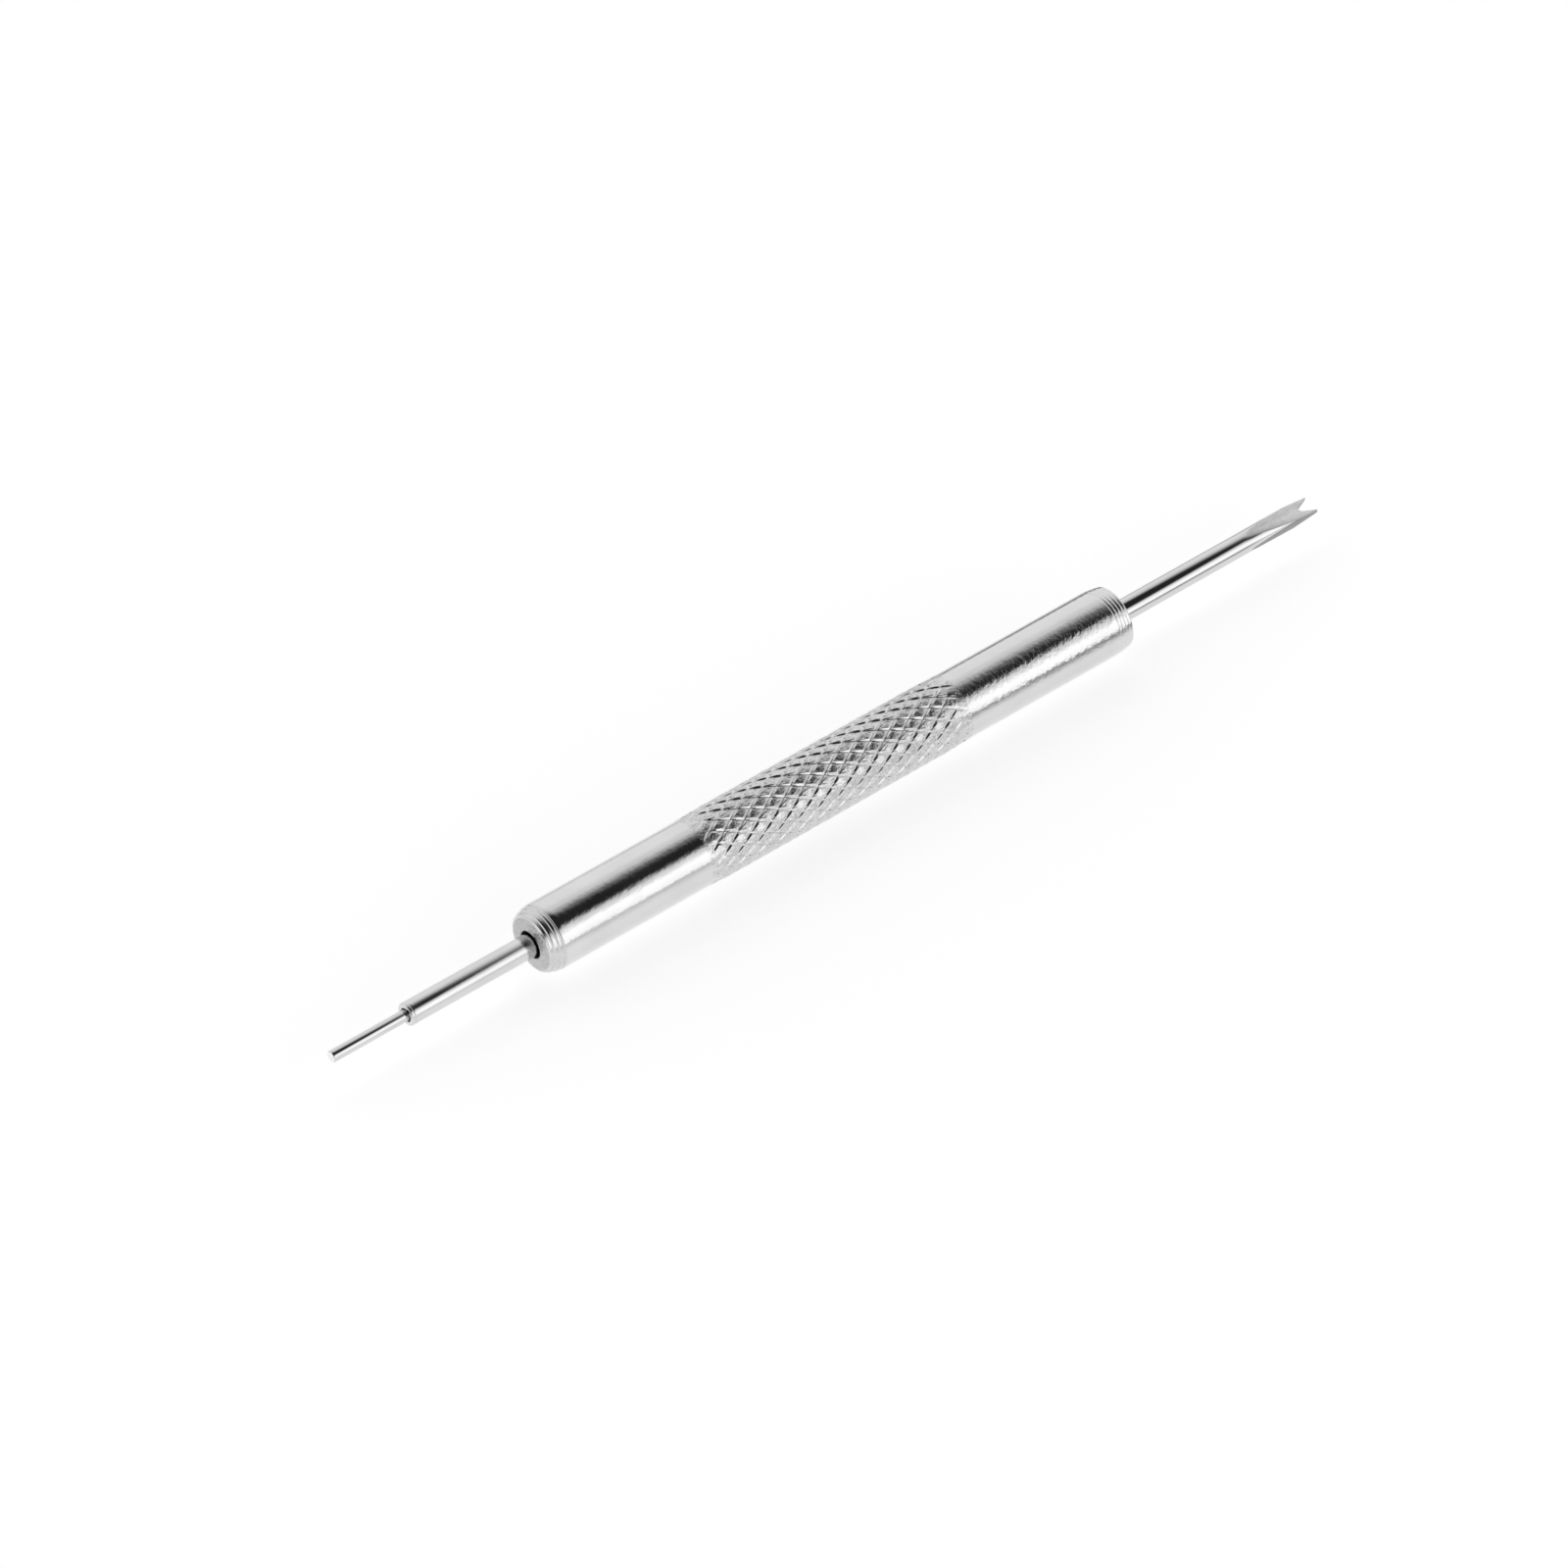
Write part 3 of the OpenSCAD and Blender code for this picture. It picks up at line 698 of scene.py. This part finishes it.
def apply_modifiers(piece):
    """Keep the modified shape as the piece's own mesh."""
    graph = bpy.context.evaluated_depsgraph_get()
    mesh = bpy.data.meshes.new_from_object(piece.evaluated_get(graph), depsgraph=graph)
    piece.modifiers.clear()
    piece.data = mesh


cutter = notch_cutter()
cut = fork_piece.modifiers.new("notch", "BOOLEAN")
cut.object, cut.operation, cut.solver = cutter, "DIFFERENCE", "EXACT"
ease = fork_piece.modifiers.new("ease the edges", "BEVEL")
ease.width, ease.segments, ease.limit_method = 0.012 * MM, 2, "ANGLE"
ease.angle_limit = math.radians(35)
ease.use_clamp_overlap = True
apply_modifiers(fork_piece)
bpy.data.objects.remove(cutter)
fork_piece.data.transform(Matrix.Rotation(blade_roll, 4, "X"))
fork_piece.data.set_sharp_from_angle(angle=math.radians(30))
print("fork: %d faces, %s" % (len(fork_piece.data.polygons),
                              [m.name for m in fork_piece.data.materials]))

# %% [markdown]
# ## Floor and light
#
# Bright metal shows its surroundings, so the studio is part of the look. The photograph's own
# reflections tell what stood there: white walls and a white table on most sides, one wide soft
# lamp low in front of the tool, and a dark opening above the camera. The world is a white dome
# with the opening and the lamp in it. In the tool's mirror the table shows painted light and
# shade: lighter close to the tool, and a painted shade band some way out on the camera's side,
# deeper towards the fork. The floor and the dome are plain white for the camera, and the floor
# still takes the tool's soft shadow.

# %% Floor
def ramp(tree, value, *stops):
    """A smooth curve through (place, level) stops, with places from 0 to 1 and any levels."""
    top = max(level for _, level in stops)
    curve = node(tree, "ShaderNodeValToRGB", {"Fac": value})
    curve.color_ramp.interpolation = "EASE"
    elements = curve.color_ramp.elements
    elements[0].position, elements[-1].position = stops[0][0], stops[-1][0]
    for place, level in stops[1:-1]:
        elements.new(place)
    for element, (place, level) in zip(elements, stops):
        element.color = (level / top, level / top, level / top, 1)
    return maths(tree, "MULTIPLY", curve.outputs["Color"], top)


def stage_floor():
    """A white table that glows for the camera, and glows with painted light and shade for the
    mirror.
    """
    bm = bmesh.new()
    bmesh.ops.create_grid(bm, x_segments=1, y_segments=1, size=1.5)
    bmesh.ops.translate(bm, vec=(0, 0, floor_z), verts=bm.verts)
    mesh = bpy.data.meshes.new("floor")
    bm.to_mesh(mesh)
    bm.free()
    material = bpy.data.materials.new("white table")
    material.use_nodes = True
    tree = material.node_tree
    tree.nodes.clear()
    matt = node(tree, "ShaderNodeBsdfDiffuse", {"Color": (0.55, 0.55, 0.55, 1)})
    path = node(tree, "ShaderNodeLightPath")
    place = node(tree, "ShaderNodeSeparateXYZ",
                 {"Vector": node(tree, "ShaderNodeTexCoord").outputs["Object"]})
    away = maths(tree, "MULTIPLY", maths(tree, "ABSOLUTE", place.outputs["Y"]), 10)
    # Painted light and shade for glossy rays: lighter close to the tool, darkest about 24 mm out,
    # lighter again further away.
    painted_mirror_level = ramp(tree, away, (0.06, 0.78), (0.14, 0.62), (0.24, 0.40), (0.40, 0.60),
                    (0.80, 0.95))
    # A deeper painted shade towards the fork, from X = 0 outwards.
    right = node(tree, "ShaderNodeMapRange",
                 {"Value": place.outputs["X"], "From Min": 0.0, "From Max": 0.04, "To Min": 0.0,
                  "To Max": 1.4}, interpolation_type="SMOOTHSTEP").outputs["Result"]
    painted_shade_dip = ramp(tree, away, (0.05, 0.0), (0.12, 0.34), (0.30, 0.40), (0.65, 0.60), (0.95, 0.3))
    painted_mirror_level = maths(tree, "SUBTRACT", painted_mirror_level, maths(tree, "MULTIPLY", painted_shade_dip, right))
    painted_mirror_level = maths(tree, "MAXIMUM", painted_mirror_level, 0.0)
    painted_mirror_level = maths(tree, "MULTIPLY", path.outputs["Is Glossy Ray"], painted_mirror_level)
    seen = maths(tree, "MAXIMUM", path.outputs["Is Camera Ray"],
                 path.outputs["Is Transmission Ray"])
    glow = node(tree, "ShaderNodeEmission",
                {"Color": (1, 1, 1, 1),
                 "Strength": maths(tree, "MULTIPLY_ADD", seen, 0.72, painted_mirror_level)})
    both = node(tree, "ShaderNodeAddShader")
    tree.links.new(matt.outputs[0], both.inputs[0])
    tree.links.new(glow.outputs[0], both.inputs[1])
    end = node(tree, "ShaderNodeOutputMaterial")
    tree.links.new(both.outputs[0], end.inputs["Surface"])
    mesh.materials.append(material)
    floor = bpy.data.objects.new("floor", mesh)
    bpy.context.scene.collection.objects.link(floor)
    return floor


floor = stage_floor()
print("floor at %.2f mm" % (floor_z / MM))

# %% Dome
def studio_world():
    """A white dome with a dark opening above the camera and a wide soft lamp low in front."""
    world = bpy.data.worlds.new("studio")
    bpy.context.scene.world = world
    world.use_nodes = True
    tree = world.node_tree
    tree.nodes.clear()
    look = node(tree, "ShaderNodeTexCoord").outputs["Generated"]
    facing = node(tree, "ShaderNodeVectorMath", {0: look, 1: (-0.15, -0.45, 0.88)},
                  operation="DOT_PRODUCT").outputs["Value"]
    dome = ramp(tree, facing, (0.15, 1.0), (0.46, 0.82), (0.60, 0.50), (0.69, 0.17),
                (0.77, 0.02))
    parts = node(tree, "ShaderNodeSeparateXYZ", {"Vector": look})
    up, right = parts.outputs["Z"], parts.outputs["X"]
    front = maths(tree, "LESS_THAN", parts.outputs["Y"], 0.0)
    tall = ramp(tree, up, (0.0, 1.35), (0.38, 1.5), (0.60, 0.95), (0.78, 0.0))
    wide = ramp(tree, maths(tree, "MULTIPLY_ADD", right, 0.5, 0.5), (0.30, 0.0), (0.42, 1.0),
                (0.80, 1.0), (0.92, 0.0))
    lamp = maths(tree, "MULTIPLY", maths(tree, "MULTIPLY", tall, wide), front)
    level = maths(tree, "MAXIMUM", dome, lamp)
    path = node(tree, "ShaderNodeLightPath")
    level = maths(tree, "MAXIMUM", level, path.outputs["Is Camera Ray"])
    back = node(tree, "ShaderNodeBackground", {"Color": (1, 1, 1, 1), "Strength": level})
    end = node(tree, "ShaderNodeOutputWorld")
    tree.links.new(back.outputs[0], end.inputs["Surface"])
    return world


studio = studio_world()
print("world:", studio.name)
